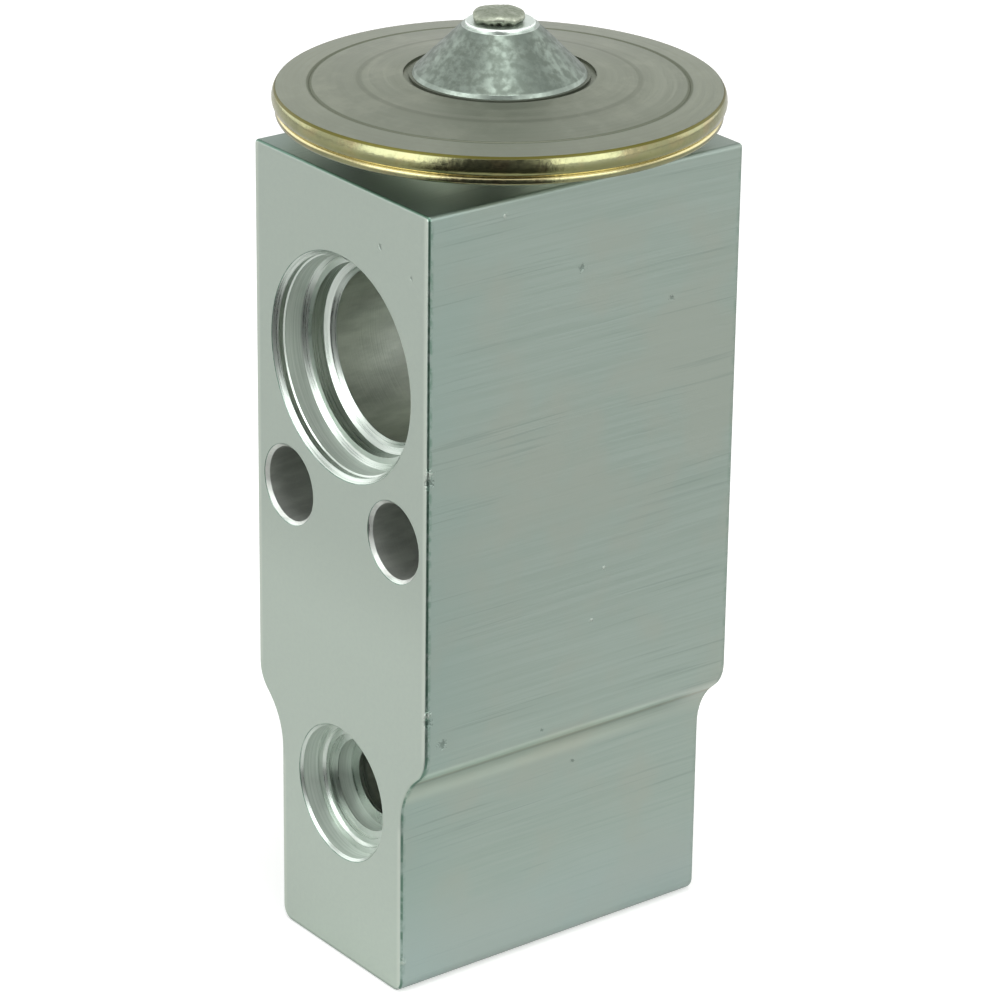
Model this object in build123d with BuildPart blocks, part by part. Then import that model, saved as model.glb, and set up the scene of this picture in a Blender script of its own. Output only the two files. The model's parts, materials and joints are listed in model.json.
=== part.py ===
"""Block-type thermostatic expansion valve, in millimetres.

The extruded block stands on its foot. Z is up along the valve stem, Y runs from port face to
port face, and the origin is the centre of the foot. The plain sides face X.
"""
from build123d import *
from math import acos, degrees, radians, sin, sqrt, tan
import os

os.makedirs("parts", exist_ok=True)

# Extruded block
body_width = 26.0
body_depth = 34.5
body_height = 76.0
foot_width = 18.8
shoulder_top_z = 25.3
shoulder_outer_r = 3.5
shoulder_inner_r = 6.4
foot_corner_r = 1.3
top_corner_r = 0.4
edge_break = 0.3

# Suction passage, with a turned tube seat in each port face
suction_below_top = 17.6
suction_bore_r = 7.9
suction_bore_chamfer = 0.4
suction_land_step = 0.55
suction_land_fall = 0.3
suction_pilot_length = 1.3
suction_throat_step = 0.55
suction_throat_chamfer = 0.45
suction_taper_rise = 0.1
suction_taper_length = 1.7
suction_mouth_step = 0.15
suction_mouth_lead = 0.1
suction_mouth_length = 0.5
suction_mouth_chamfer = 0.45

# Liquid ports: inlet in the front face, outlet in the back face
inlet_z = 16.75
outlet_z = 27.0
liquid_bore_r = 3.3
liquid_pilot_step = 1.1
liquid_pilot_length = 1.6
liquid_land_step = 0.65
liquid_land_length = 0.55
liquid_throat_step = 0.45
liquid_throat_chamfer = 0.25
liquid_mouth_step = 0.55
liquid_mouth_lead = 0.1
liquid_mouth_length = 1.65
liquid_mouth_chamfer = 0.28
outlet_overrun = 3.6

# Two clamping bolts pass through the block
bolt_side_wall = 1.5
bolt_below_suction = 13.85
bolt_hole_r = 3.5
bolt_mouth_chamfer = 0.35

# Valve chamber, bored up from the foot
adjuster_thread_r = 6.0
chamber_r = 5.0
seat_z = 20.2
passage_r = 2.6

# Fits between the pieces
fit_gap = 0.02
running_gap = 0.05
thread_gap = 0.05
seal_gap = 0.03

# Orifice, ball and carrier
valve_lift = 0.8
orifice_r = 1.9
orifice_ring_r = 3.6
orifice_ring_height = 2.4
orifice_ring_chamfer = 0.3
ball_r = 2.75
ball_seat_gap = 0.04
carrier_head_r = 3.2
carrier_rim_drop = 1.6
carrier_cone_angle = 60.0
carrier_floor = 0.75
carrier_flange_r = 4.2
carrier_flange_t = 1.0
spring_pilot_length = 1.2

# Superheat spring
spring_wire_r = 0.4
spring_mean_r = 3.3
spring_turns = 5
spring_pilot_gap = 0.3

# Anti-vibration spring under the carrier's flange
damper_t = 0.25
damper_legs = 3
damper_leg_width = 2.4
damper_leg_length = 3.4
damper_bulge_z = 0.7

# Adjusting screw, turned with a hexagon key
adjuster_recess = 0.9
adjuster_thread_length = 4.1
adjuster_neck_length = 3.4
adjuster_neck_gap = 0.1
adjuster_travel = 0.75
adjuster_runout = 0.25
adjuster_seal_wire_r = 0.6
adjuster_groove_rise = 1.7
hex_across_flats = 6.0
hex_depth = 3.4
adjuster_chamfer = 0.5

# Sensing shaft, operating rod and shaft gland
shaft_r = 2.2
shaft_guide_length = 5.0
shaft_socket_depth = 2.0
shaft_bore_floor_gap = 0.2
rod_r = 1.2
rod_chamfer = 0.2
shaft_chamfer = 0.3
vapour_gap = 1.1
gland_depth = 4.0
gland_seal_wire_r = 0.72
gland_washer_t = 0.6
retainer_t = 0.4
retainer_slots = 8
retainer_slot_width = 0.7
retainer_slot_depth = 0.6

# Power head: threaded lower housing with its rolled rim
head_thread_r = 9.0
head_thread_length = 7.0
head_thread_clearance = 0.6
head_thread_chamfer = 0.6
head_bore_r = 5.5
head_seal_wire_r = 0.62
head_floor_t = 1.75
hub_r = 11.8
hub_height = 1.5
rim_r = 20.05
rim_wall = 0.35
rim_gap = 2.5
rim_belly_z = 1.7
rim_bead_r = 0.4
rim_bead_inset = 0.3
rim_seam_angle = 65.0
flange_t = 1.5
well_r = 16.3
well_depth = 0.75

# Diaphragm and its support pad
diaphragm_t = 0.15
diaphragm_roll_height = 0.3
pad_r = 9.8
pad_t = 1.6
pad_boss_r = 3.6
pad_boss_length = 1.5
pad_stop_gap = 0.25
pad_corner_r = 0.4

# Upper cover, charge cone and plug
cover_t = 1.0
cover_crown = 1.1
cover_band_rise = 0.25
cover_line_r = 16.9
cover_line_width = 0.3
cover_line_depth = 0.12
cover_roof_step = 0.1
moat_outer_r = 8.5
moat_width = 0.5
moat_depth = 0.3
charge_hole_r = 1.2
cone_base_r = 7.55
cone_foot_r = 7.7
cone_foot_height = 0.32
cone_top_r = 3.4
collar_r = 3.1
collar_height = 0.35
collar_edge_r = 0.2
plug_r = 2.25
plug_head_height = 0.72
plug_edge_r = 0.24
plug_stem_length = 4.0

# Levels and radii that follow from the sizes above
shoulder_step = (body_width - foot_width) / 2
shoulder_turn = acos(1 - shoulder_step / (shoulder_outer_r + shoulder_inner_r))
suction_z = body_height - suction_below_top
suction_land_r = suction_bore_r + suction_bore_chamfer
suction_pilot_r = suction_land_r + suction_land_step
suction_throat_r = suction_pilot_r + suction_throat_step
suction_taper_end_r = suction_throat_r + suction_throat_chamfer
suction_taper_r = suction_taper_end_r + suction_taper_rise
suction_mouth_r = suction_taper_r + suction_mouth_step
liquid_pilot_r = liquid_bore_r + liquid_pilot_step
liquid_land_r = liquid_pilot_r + liquid_land_step
liquid_throat_r = liquid_land_r + liquid_throat_step
liquid_step_r = liquid_throat_r + liquid_throat_chamfer
liquid_mouth_r = liquid_step_r + liquid_mouth_step
bolt_x = body_width / 2 - bolt_side_wall - bolt_hole_r
bolt_z = suction_z - bolt_below_suction
suction_floor_z = suction_z - suction_bore_r
gland_r = shaft_r + 2 * gland_seal_wire_r + 2 * seal_gap
gland_floor_z = suction_floor_z - gland_depth
shaft_end_z = gland_floor_z - shaft_guide_length
shaft_bore_floor_z = shaft_end_z - valve_lift - shaft_bore_floor_gap
ball_z = seat_z - sqrt(ball_r**2 - orifice_r**2) - ball_seat_gap
carrier_top_z = ball_z - carrier_rim_drop
carrier_apex_z = ball_z - ball_r / sin(radians(carrier_cone_angle)) - fit_gap
carrier_cone_r = (carrier_top_z - carrier_apex_z) * tan(radians(carrier_cone_angle))
flange_bottom_z = carrier_apex_z - carrier_floor
spring_top_z = flange_bottom_z - damper_t
spring_pilot_r = spring_mean_r - spring_wire_r - spring_pilot_gap
neck_bottom_z = adjuster_recess + adjuster_thread_length
spring_bottom_z = neck_bottom_z + adjuster_neck_length
adjuster_thread_depth = neck_bottom_z + adjuster_travel + adjuster_runout
adjuster_neck_r = chamber_r - adjuster_neck_gap
adjuster_groove_z = neck_bottom_z + adjuster_groove_rise
adjuster_groove_r = chamber_r - 2 * adjuster_seal_wire_r - 2 * seal_gap
head_seal_seat_r = head_thread_r + 2 * head_seal_wire_r + 2 * seal_gap
head_seal_seat_depth = 2 * head_seal_wire_r + 2 * seal_gap
head_hole_floor_z = body_height - head_thread_length - head_thread_clearance
rim_bottom_z = body_height + rim_gap
clamp_z = rim_bottom_z + flange_t
head_floor_z = clamp_z - diaphragm_t - pad_t - valve_lift - pad_stop_gap
pad_top_z = clamp_z - fit_gap
pad_bottom_z = pad_top_z - pad_t
cover_r = rim_r - rim_wall
cover_edge_z = clamp_z + diaphragm_t + cover_t
cover_top_z = cover_edge_z + cover_crown
cone_top_z = cover_top_z + cone_foot_height + cone_base_r - cone_top_r
collar_top_z = cone_top_z + collar_height
front_face = Plane(origin=(0, -body_depth / 2, 0), x_dir=(1, 0, 0), z_dir=(0, -1, 0))
back_face = Plane(origin=(0, body_depth / 2, 0), x_dir=(-1, 0, 0), z_dir=(0, 1, 0))


def turned(corners):
    """Tool for a turned recess: a solid of revolution about Z from (radius, z) corners."""
    with BuildPart() as tool:
        with BuildSketch(Plane.XZ):
            with BuildLine():
                Polyline((0, corners[0][1]), *corners, (0, corners[-1][1]), close=True)
            make_face()
        revolve(axis=Axis.Z)
    return tool.part


def port_tool(steps):
    """Tool for a stepped port from (length, start radius, end radius) steps, mouth at z = 0."""
    corners = [(steps[0][1], 0)]
    z = 0.0
    for length, start_r, end_r in steps:
        if start_r != corners[-1][0]:
            corners.append((start_r, z))
        z -= length
        corners.append((end_r, z))
    return turned(corners)


suction_port = port_tool([
    (suction_mouth_chamfer, suction_mouth_r + suction_mouth_chamfer, suction_mouth_r),
    (suction_mouth_length, suction_mouth_r, suction_mouth_r),
    (suction_mouth_lead, suction_mouth_r, suction_taper_r),
    (suction_taper_length, suction_taper_r, suction_taper_end_r),
    (suction_throat_chamfer, suction_taper_end_r, suction_throat_r),
    (suction_pilot_length, suction_pilot_r, suction_pilot_r),
    (suction_land_fall, suction_pilot_r, suction_land_r),
    (suction_bore_chamfer, suction_land_r, suction_bore_r),
])
liquid_port = port_tool([
    (liquid_mouth_chamfer, liquid_mouth_r + liquid_mouth_chamfer, liquid_mouth_r),
    (liquid_mouth_length, liquid_mouth_r, liquid_mouth_r),
    (liquid_mouth_lead, liquid_mouth_r, liquid_step_r),
    (liquid_throat_chamfer, liquid_step_r, liquid_throat_r),
    (liquid_land_length, liquid_land_r, liquid_land_r),
    (liquid_pilot_length, liquid_pilot_r, liquid_pilot_r),
])

# Chamber from the foot: adjuster thread, ball chamber, orifice seat, passage to the outlet
chamber = turned([
    (adjuster_thread_r, 0),
    (adjuster_thread_r, adjuster_thread_depth),
    (chamber_r, adjuster_thread_depth),
    (chamber_r, seat_z),
    (orifice_ring_r + fit_gap, seat_z),
    (orifice_ring_r + fit_gap, seat_z + orifice_ring_height + fit_gap),
    (passage_r, seat_z + orifice_ring_height + fit_gap),
    (passage_r, outlet_z),
])

# Stem bores from the head down: seal seat, head thread, vapour hole, gland, shaft and rod guides
stem_bores = turned([
    (head_seal_seat_r, body_height),
    (head_seal_seat_r, body_height - head_seal_seat_depth),
    (head_thread_r, body_height - head_seal_seat_depth),
    (head_thread_r, head_hole_floor_z),
    (shaft_r + vapour_gap, head_hole_floor_z),
    (shaft_r + vapour_gap, suction_z),
    (gland_r, suction_z),
    (gland_r, gland_floor_z),
    (shaft_r + running_gap, gland_floor_z),
    (shaft_r + running_gap, shaft_bore_floor_z),
    (rod_r + running_gap, shaft_bore_floor_z),
    (rod_r + running_gap, outlet_z),
])

with BuildPart() as valve_body:
    with BuildSketch(Plane.XZ):
        with BuildLine():
            side = Line((body_width / 2, body_height), (body_width / 2, shoulder_top_z))
            outer_bend = JernArc(side @ 1, side % 1, shoulder_outer_r, -degrees(shoulder_turn))
            inner_bend = JernArc(
                outer_bend @ 1, outer_bend % 1, shoulder_inner_r, degrees(shoulder_turn))
            foot_side = Line(inner_bend @ 1, (foot_width / 2, 0))
            Line(foot_side @ 1, (0, 0))
            Line((0, body_height), side @ 0)
            mirror(about=Plane.YZ)
        make_face()
    extrude(amount=body_depth / 2, both=True)
    long_edges = valve_body.edges().filter_by(Axis.Y)
    fillet(long_edges.group_by(Axis.Z)[0], radius=foot_corner_r)
    fillet(valve_body.edges().filter_by(Axis.Y).group_by(Axis.Z)[-1], radius=top_corner_r)
    port_faces = valve_body.faces().filter_by(Axis.Y)
    fillet(port_faces.edges(), radius=edge_break)
    with Locations(front_face.location * Location((0, suction_z, 0))):
        add(suction_port, mode=Mode.SUBTRACT)
    with Locations(back_face.location * Location((0, suction_z, 0))):
        add(suction_port, mode=Mode.SUBTRACT)
    with Locations(front_face.location * Location((0, inlet_z, 0))):
        add(liquid_port, mode=Mode.SUBTRACT)
    with Locations(back_face.location * Location((0, outlet_z, 0))):
        add(liquid_port, mode=Mode.SUBTRACT)
    with BuildSketch(Plane.XZ) as passages:
        with Locations((0, suction_z)):
            Circle(suction_bore_r)
        with Locations((bolt_x, bolt_z), (-bolt_x, bolt_z)):
            Circle(bolt_hole_r)
    extrude(amount=body_depth / 2, both=True, mode=Mode.SUBTRACT)
    with BuildSketch(front_face):
        with Locations((0, inlet_z)):
            Circle(liquid_bore_r)
    extrude(amount=-body_depth / 2, mode=Mode.SUBTRACT)
    with BuildSketch(back_face):
        with Locations((0, outlet_z)):
            Circle(liquid_bore_r)
    extrude(amount=-(body_depth / 2 + outlet_overrun), mode=Mode.SUBTRACT)
    add(chamber, mode=Mode.SUBTRACT)
    add(stem_bores, mode=Mode.SUBTRACT)
    bolt_mouths = valve_body.edges().filter_by(
        lambda edge: edge.geom_type == GeomType.CIRCLE and abs(edge.radius - bolt_hole_r) < 0.001)
    chamfer(bolt_mouths, length=bolt_mouth_chamfer)
valve_body.part.label = "valve_body"
export_step(valve_body.part, "parts/valve_body.step")

# Orifice ring pressed in above the chamber
with BuildPart() as orifice_ring:
    with BuildSketch(Plane.XY.offset(seat_z)):
        Circle(orifice_ring_r)
        Circle(orifice_r, mode=Mode.SUBTRACT)
    extrude(amount=orifice_ring_height)
    upper_edges = orifice_ring.edges().group_by(Axis.Z)[-1]
    chamfer(upper_edges, length=orifice_ring_chamfer)
orifice_ring.part.label = "orifice_ring"
export_step(orifice_ring.part, "parts/orifice_ring.step")

with BuildPart() as valve_ball:
    with Locations((0, 0, ball_z)):
        Sphere(ball_r)
valve_ball.part.label = "valve_ball"
export_step(valve_ball.part, "parts/valve_ball.step")

# Carrier: cone seat above for the ball, flange for the spring, pilot inside the spring
with BuildPart() as ball_carrier:
    with BuildSketch(Plane.XZ):
        with BuildLine():
            Polyline(
                (0, carrier_apex_z),
                (carrier_cone_r, carrier_top_z),
                (carrier_head_r, carrier_top_z),
                (carrier_head_r, flange_bottom_z + carrier_flange_t),
                (carrier_flange_r, flange_bottom_z + carrier_flange_t),
                (carrier_flange_r, flange_bottom_z),
                (spring_pilot_r, flange_bottom_z),
                (spring_pilot_r, flange_bottom_z - spring_pilot_length),
                (0, flange_bottom_z - spring_pilot_length),
                close=True,
            )
        make_face()
    revolve(axis=Axis.Z)
    pilot_end = ball_carrier.faces().sort_by(Axis.Z)[0]
    chamfer(pilot_end.edges(), length=spring_pilot_gap)
ball_carrier.part.label = "ball_carrier"
export_step(ball_carrier.part, "parts/ball_carrier.step")

# Sheet ring under the flange, its legs rubbing on the chamber wall
leg_outer_r = sqrt((chamber_r - running_gap)**2 - (damper_leg_width / 2)**2)
leg_root_z = spring_top_z + damper_t
leg_tip_z = leg_root_z - damper_leg_length
leg_angles = [90 + 360 * leg / damper_legs for leg in range(damper_legs)]
leg_planes = [
    Plane(
        origin=(0, 0, 0),
        x_dir=Vector(1, 0, 0).rotate(Axis.Z, angle),
        z_dir=Vector(0, -1, 0).rotate(Axis.Z, angle),
    )
    for angle in leg_angles
]
with BuildPart() as damper_spring:
    with BuildSketch(Plane.XY.offset(spring_top_z)):
        Circle(carrier_flange_r)
        Circle(spring_pilot_r + fit_gap, mode=Mode.SUBTRACT)
    extrude(amount=damper_t)
    with BuildSketch(*leg_planes):
        with BuildLine():
            Polyline(
                (carrier_flange_r - damper_t, leg_root_z),
                (carrier_flange_r, leg_root_z),
                (leg_outer_r, leg_tip_z + damper_bulge_z),
                (leg_outer_r - damper_t, leg_tip_z),
                (leg_outer_r - 2 * damper_t, leg_tip_z),
                (leg_outer_r - damper_t, leg_tip_z + damper_bulge_z),
                close=True,
            )
        make_face()
    extrude(amount=damper_leg_width / 2, both=True)
damper_spring.part.label = "damper_spring"
export_step(damper_spring.part, "parts/damper_spring.step")

# Superheat spring, its end coils ground flat
with BuildPart() as superheat_spring:
    with BuildLine():
        coil = Helix(
            pitch=(spring_top_z - spring_bottom_z) / spring_turns,
            height=spring_top_z - spring_bottom_z,
            radius=spring_mean_r,
            center=(0, 0, spring_bottom_z),
        )
    with BuildSketch(Plane(origin=coil @ 0, z_dir=coil % 0)):
        Circle(spring_wire_r)
    sweep(path=coil, is_frenet=True)
    with BuildSketch(Plane.XY.offset(spring_bottom_z)):
        Circle(chamber_r)
    extrude(amount=spring_top_z - spring_bottom_z, mode=Mode.INTERSECT)
superheat_spring.part.label = "superheat_spring"
export_step(superheat_spring.part, "parts/superheat_spring.step")

# Adjusting screw: thread, sealed neck and spring pilot, with a hexagon socket below
with BuildPart() as adjusting_screw:
    thread_r = adjuster_thread_r - thread_gap
    groove_half = adjuster_seal_wire_r + seal_gap
    with BuildSketch(Plane.XZ):
        with BuildLine():
            Polyline(
                (0, adjuster_recess),
                (thread_r - adjuster_chamfer, adjuster_recess),
                (thread_r, adjuster_recess + adjuster_chamfer),
                (thread_r, neck_bottom_z),
                (adjuster_neck_r, neck_bottom_z),
                (adjuster_neck_r, adjuster_groove_z - groove_half),
                (adjuster_groove_r, adjuster_groove_z - groove_half),
                (adjuster_groove_r, adjuster_groove_z + groove_half),
                (adjuster_neck_r, adjuster_groove_z + groove_half),
                (adjuster_neck_r, spring_bottom_z),
                (spring_pilot_r, spring_bottom_z),
                (spring_pilot_r, spring_bottom_z + spring_pilot_length),
                (0, spring_bottom_z + spring_pilot_length),
                close=True,
            )
        make_face()
    revolve(axis=Axis.Z)
    pilot_end = adjusting_screw.faces().sort_by(Axis.Z)[-1]
    chamfer(pilot_end.edges(), length=spring_pilot_gap)
    with BuildSketch(Plane.XY.offset(adjuster_recess)):
        RegularPolygon(hex_across_flats / 2, 6, major_radius=False)
    extrude(amount=hex_depth, mode=Mode.SUBTRACT)
adjusting_screw.part.label = "adjusting_screw"
export_step(adjusting_screw.part, "parts/adjusting_screw.step")

with BuildPart() as adjuster_seal:
    with Locations((0, 0, adjuster_groove_z)):
        Torus(adjuster_groove_r + seal_gap + adjuster_seal_wire_r, adjuster_seal_wire_r)
adjuster_seal.part.label = "adjuster_seal"
export_step(adjuster_seal.part, "parts/adjuster_seal.step")

# Operating rod from the ball into the socket of the sensing shaft
with BuildPart() as operating_rod:
    rod_bottom_z = ball_z + ball_r + fit_gap
    rod_length = shaft_end_z + shaft_socket_depth - fit_gap - rod_bottom_z
    with BuildSketch(Plane.XY.offset(rod_bottom_z)):
        Circle(rod_r)
    extrude(amount=rod_length)
    rod_ends = operating_rod.edges().filter_by(GeomType.CIRCLE)
    chamfer(rod_ends, length=rod_chamfer)
operating_rod.part.label = "operating_rod"
export_step(operating_rod.part, "parts/operating_rod.step")

pad_socket_z = pad_bottom_z + pad_t / 2
with BuildPart() as sensing_shaft:
    with BuildSketch(Plane.XY.offset(shaft_end_z)):
        Circle(shaft_r)
    extrude(amount=pad_socket_z - fit_gap - shaft_end_z)
    shaft_ends = sensing_shaft.edges().filter_by(GeomType.CIRCLE)
    chamfer(shaft_ends, length=shaft_chamfer)
    with BuildSketch(Plane.XY.offset(shaft_end_z)):
        Circle(rod_r + fit_gap)
    extrude(amount=shaft_socket_depth, mode=Mode.SUBTRACT)
sensing_shaft.part.label = "sensing_shaft"
export_step(sensing_shaft.part, "parts/sensing_shaft.step")

# Gland round the shaft: sealing ring, washer and toothed retainer pressed into the bore
gland_seal_z = gland_floor_z + seal_gap + gland_seal_wire_r
gland_washer_z = gland_seal_z + gland_seal_wire_r + seal_gap
retainer_z = gland_washer_z + gland_washer_t
gland_hole_r = shaft_r + 2 * running_gap
with BuildPart() as gland_seal:
    with Locations((0, 0, gland_seal_z)):
        Torus(shaft_r + seal_gap + gland_seal_wire_r, gland_seal_wire_r)
gland_seal.part.label = "gland_seal"
export_step(gland_seal.part, "parts/gland_seal.step")

with BuildPart() as gland_washer:
    with BuildSketch(Plane.XY.offset(gland_washer_z)):
        Circle(gland_r - fit_gap)
        Circle(gland_hole_r, mode=Mode.SUBTRACT)
    extrude(amount=gland_washer_t)
gland_washer.part.label = "gland_washer"
export_step(gland_washer.part, "parts/gland_washer.step")

with BuildPart() as gland_retainer:
    with BuildSketch(Plane.XY.offset(retainer_z)):
        Circle(gland_r - fit_gap)
        Circle(gland_hole_r, mode=Mode.SUBTRACT)
        with PolarLocations(gland_r, retainer_slots):
            Rectangle(2 * retainer_slot_depth, retainer_slot_width, mode=Mode.SUBTRACT)
    extrude(amount=retainer_t)
gland_retainer.part.label = "gland_retainer"
export_step(gland_retainer.part, "parts/gland_retainer.step")

# Lower housing: threaded neck, hub on the block, flange with a beaded edge, and above its seam
# the rim rolled up round the cover
neck_r = head_thread_r - thread_gap
neck_end_z = body_height - head_thread_length
floor_bottom_z = head_floor_z - head_floor_t
pad_well_r = pad_r + pad_stop_gap
lip_r = cover_r + fit_gap
rim_flat_r = rim_r - rim_bead_inset - rim_bead_r
with BuildPart() as head_housing:
    with BuildSketch(Plane.XZ):
        with BuildLine():
            section = Polyline(
                (lip_r, cover_edge_z),
                (lip_r, clamp_z),
                (well_r, clamp_z),
                (well_r, clamp_z - well_depth),
                (pad_well_r, clamp_z - well_depth),
                (pad_well_r, head_floor_z),
                (pad_boss_r + running_gap, head_floor_z),
                (pad_boss_r + running_gap, floor_bottom_z),
                (head_bore_r, floor_bottom_z),
                (head_bore_r, neck_end_z),
                (neck_r - head_thread_chamfer, neck_end_z),
                (neck_r, neck_end_z + head_thread_chamfer),
                (neck_r, body_height),
                (hub_r, body_height),
                (hub_r, body_height + hub_height),
                (rim_flat_r, rim_bottom_z),
            )
            bead = JernArc(section @ 1, (1, 0), rim_bead_r, 90 + rim_seam_angle)
            belly = (rim_r, rim_bottom_z + rim_belly_z)
            TangentArc(belly, bead @ 1, tangent=(0, -1))
            TangentArc(belly, section @ 0, tangent=(0, 1))
        make_face()
    revolve(axis=Axis.Z)
head_housing.part.label = "head_housing"
export_step(head_housing.part, "parts/head_housing.step")

with BuildPart() as head_seal:
    with Locations((0, 0, body_height - head_seal_seat_depth + seal_gap + head_seal_wire_r)):
        Torus(head_thread_r + seal_gap + head_seal_wire_r, head_seal_wire_r)
head_seal.part.label = "head_seal"
export_step(head_seal.part, "parts/head_seal.step")

# Support pad: disc under the diaphragm and a boss that takes the shaft
with BuildPart() as support_pad:
    with BuildSketch(Plane.XZ):
        with BuildLine():
            Polyline(
                (0, pad_top_z),
                (pad_r, pad_top_z),
                (pad_r, pad_bottom_z),
                (pad_boss_r, pad_bottom_z),
                (pad_boss_r, pad_bottom_z - pad_boss_length),
                (shaft_r + fit_gap, pad_bottom_z - pad_boss_length),
                (shaft_r + fit_gap, pad_socket_z),
                (0, pad_socket_z),
                close=True,
            )
        make_face()
    revolve(axis=Axis.Z)
    pad_corner = support_pad.edges().filter_by(GeomType.CIRCLE).sort_by(Axis.Z)[-1]
    fillet(pad_corner, radius=pad_corner_r)
support_pad.part.label = "support_pad"
export_step(support_pad.part, "parts/support_pad.step")

# Diaphragm: flat centre on the pad, two rolls, flat rim clamped under the cover
roll_width = (well_r - pad_r) / 2
roll_middle_r = pad_r + roll_width
with BuildPart() as diaphragm:
    with BuildSketch(Plane.XZ):
        with BuildLine():
            for skin_z in (clamp_z, clamp_z + diaphragm_t):
                Line((0, skin_z), (pad_r, skin_z))
                ThreePointArc(
                    (pad_r, skin_z),
                    (pad_r + roll_width / 2, skin_z + diaphragm_roll_height),
                    (roll_middle_r, skin_z),
                )
                ThreePointArc(
                    (roll_middle_r, skin_z),
                    (roll_middle_r + roll_width / 2, skin_z - diaphragm_roll_height),
                    (well_r, skin_z),
                )
                Line((well_r, skin_z), (cover_r - fit_gap, skin_z))
            Line((0, clamp_z), (0, clamp_z + diaphragm_t))
            Line((cover_r - fit_gap, clamp_z), (cover_r - fit_gap, clamp_z + diaphragm_t))
        make_face()
    revolve(axis=Axis.Z)
diaphragm.part.label = "diaphragm"
export_step(diaphragm.part, "parts/diaphragm.step")

# Cover: flat band, scribed line, low cone up to the moat round the charge cone
band_top_z = cover_edge_z + cover_band_rise
line_inner_r = cover_line_r - cover_line_width
cover_bottom_z = clamp_z + diaphragm_t
with BuildPart() as head_cover:
    with BuildSketch(Plane.XZ):
        with BuildLine():
            Polyline(
                (cover_r, cover_edge_z),
                (cover_line_r, band_top_z),
                ((cover_line_r + line_inner_r) / 2, band_top_z - cover_line_depth),
                (line_inner_r, band_top_z),
                (moat_outer_r, cover_top_z),
                (moat_outer_r, cover_top_z - moat_depth),
                (moat_outer_r - moat_width, cover_top_z - moat_depth),
                (moat_outer_r - moat_width, cover_top_z),
                (charge_hole_r, cover_top_z),
                (charge_hole_r, cover_top_z - cover_t),
                (moat_outer_r, cover_top_z - cover_t),
                (well_r, cover_bottom_z + cover_roof_step),
                (well_r, cover_bottom_z),
                (cover_r, cover_bottom_z),
                close=True,
            )
        make_face()
    revolve(axis=Axis.Z)
head_cover.part.label = "head_cover"
export_step(head_cover.part, "parts/head_cover.step")

# Charge cone welded on the cover, with a collar round its filling hole
with BuildPart() as charge_cone:
    with BuildSketch(Plane.XZ):
        with BuildLine():
            Polyline(
                (charge_hole_r, cover_top_z),
                (cone_foot_r, cover_top_z),
                (cone_base_r, cover_top_z + cone_foot_height),
                (cone_top_r, cone_top_z),
                (collar_r, cone_top_z),
                (collar_r, collar_top_z),
                (charge_hole_r, collar_top_z),
                close=True,
            )
        make_face()
    revolve(axis=Axis.Z)
    collar_edge = charge_cone.edges().filter_by(GeomType.CIRCLE).group_by(Axis.Z)[-1]
    fillet(collar_edge.sort_by(SortBy.RADIUS)[-1], radius=collar_edge_r)
charge_cone.part.label = "charge_cone"
export_step(charge_cone.part, "parts/charge_cone.step")

# Plug fused into the filling hole
with BuildPart() as sealing_plug:
    with BuildSketch(Plane.XZ):
        with BuildLine():
            Polyline(
                (0, collar_top_z - plug_stem_length),
                (charge_hole_r - fit_gap, collar_top_z - plug_stem_length),
                (charge_hole_r - fit_gap, collar_top_z),
                (plug_r, collar_top_z),
                (plug_r, collar_top_z + plug_head_height),
                (0, collar_top_z + plug_head_height),
                close=True,
            )
        make_face()
    revolve(axis=Axis.Z)
    plug_edge = sealing_plug.edges().filter_by(GeomType.CIRCLE).sort_by(Axis.Z)[-1]
    fillet(plug_edge, radius=plug_edge_r)
sealing_plug.part.label = "sealing_plug"
export_step(sealing_plug.part, "parts/sealing_plug.step")
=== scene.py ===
"""Looks of a block-type thermostatic expansion valve: finishes, small wear, light and camera.

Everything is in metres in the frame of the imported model: the block stands on its foot, the near
port face looks along -Y and the plain side that the camera sees looks along +X.
"""

import json
import math

import bmesh
import bpy
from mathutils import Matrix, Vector, noise


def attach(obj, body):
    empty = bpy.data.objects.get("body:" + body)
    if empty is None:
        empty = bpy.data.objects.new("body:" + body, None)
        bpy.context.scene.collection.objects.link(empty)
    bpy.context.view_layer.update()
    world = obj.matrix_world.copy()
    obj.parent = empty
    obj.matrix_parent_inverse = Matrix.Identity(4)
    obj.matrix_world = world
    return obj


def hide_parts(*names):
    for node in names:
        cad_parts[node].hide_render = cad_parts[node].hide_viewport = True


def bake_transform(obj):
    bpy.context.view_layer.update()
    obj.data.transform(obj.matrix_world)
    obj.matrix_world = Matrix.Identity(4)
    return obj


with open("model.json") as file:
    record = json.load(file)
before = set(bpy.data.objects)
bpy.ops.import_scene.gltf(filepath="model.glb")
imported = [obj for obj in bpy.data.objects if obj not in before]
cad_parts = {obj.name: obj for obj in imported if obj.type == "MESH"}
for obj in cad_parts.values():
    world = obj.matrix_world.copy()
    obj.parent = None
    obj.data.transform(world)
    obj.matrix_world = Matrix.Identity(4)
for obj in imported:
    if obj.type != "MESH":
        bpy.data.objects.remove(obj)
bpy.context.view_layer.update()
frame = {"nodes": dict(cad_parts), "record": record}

MM = 0.001
WELD_DISTANCE = 1e-7
NODES = frame["nodes"]

# Camera: a long lens, a little above the valve, in front of the edge between port face and side.
# Place in metres, turn in degrees, lens and sensor in millimetres.
CAMERA_PLACE = (0.29566889, -0.22644274, 0.20008851)
CAMERA_TURN = (66.9388, -0.7005, 52.7718)
CAMERA_LENS = 159.652
CAMERA_SENSOR = 36.0
CAMERA_AZIMUTH = math.atan2(CAMERA_PLACE[1], CAMERA_PLACE[0])

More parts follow.
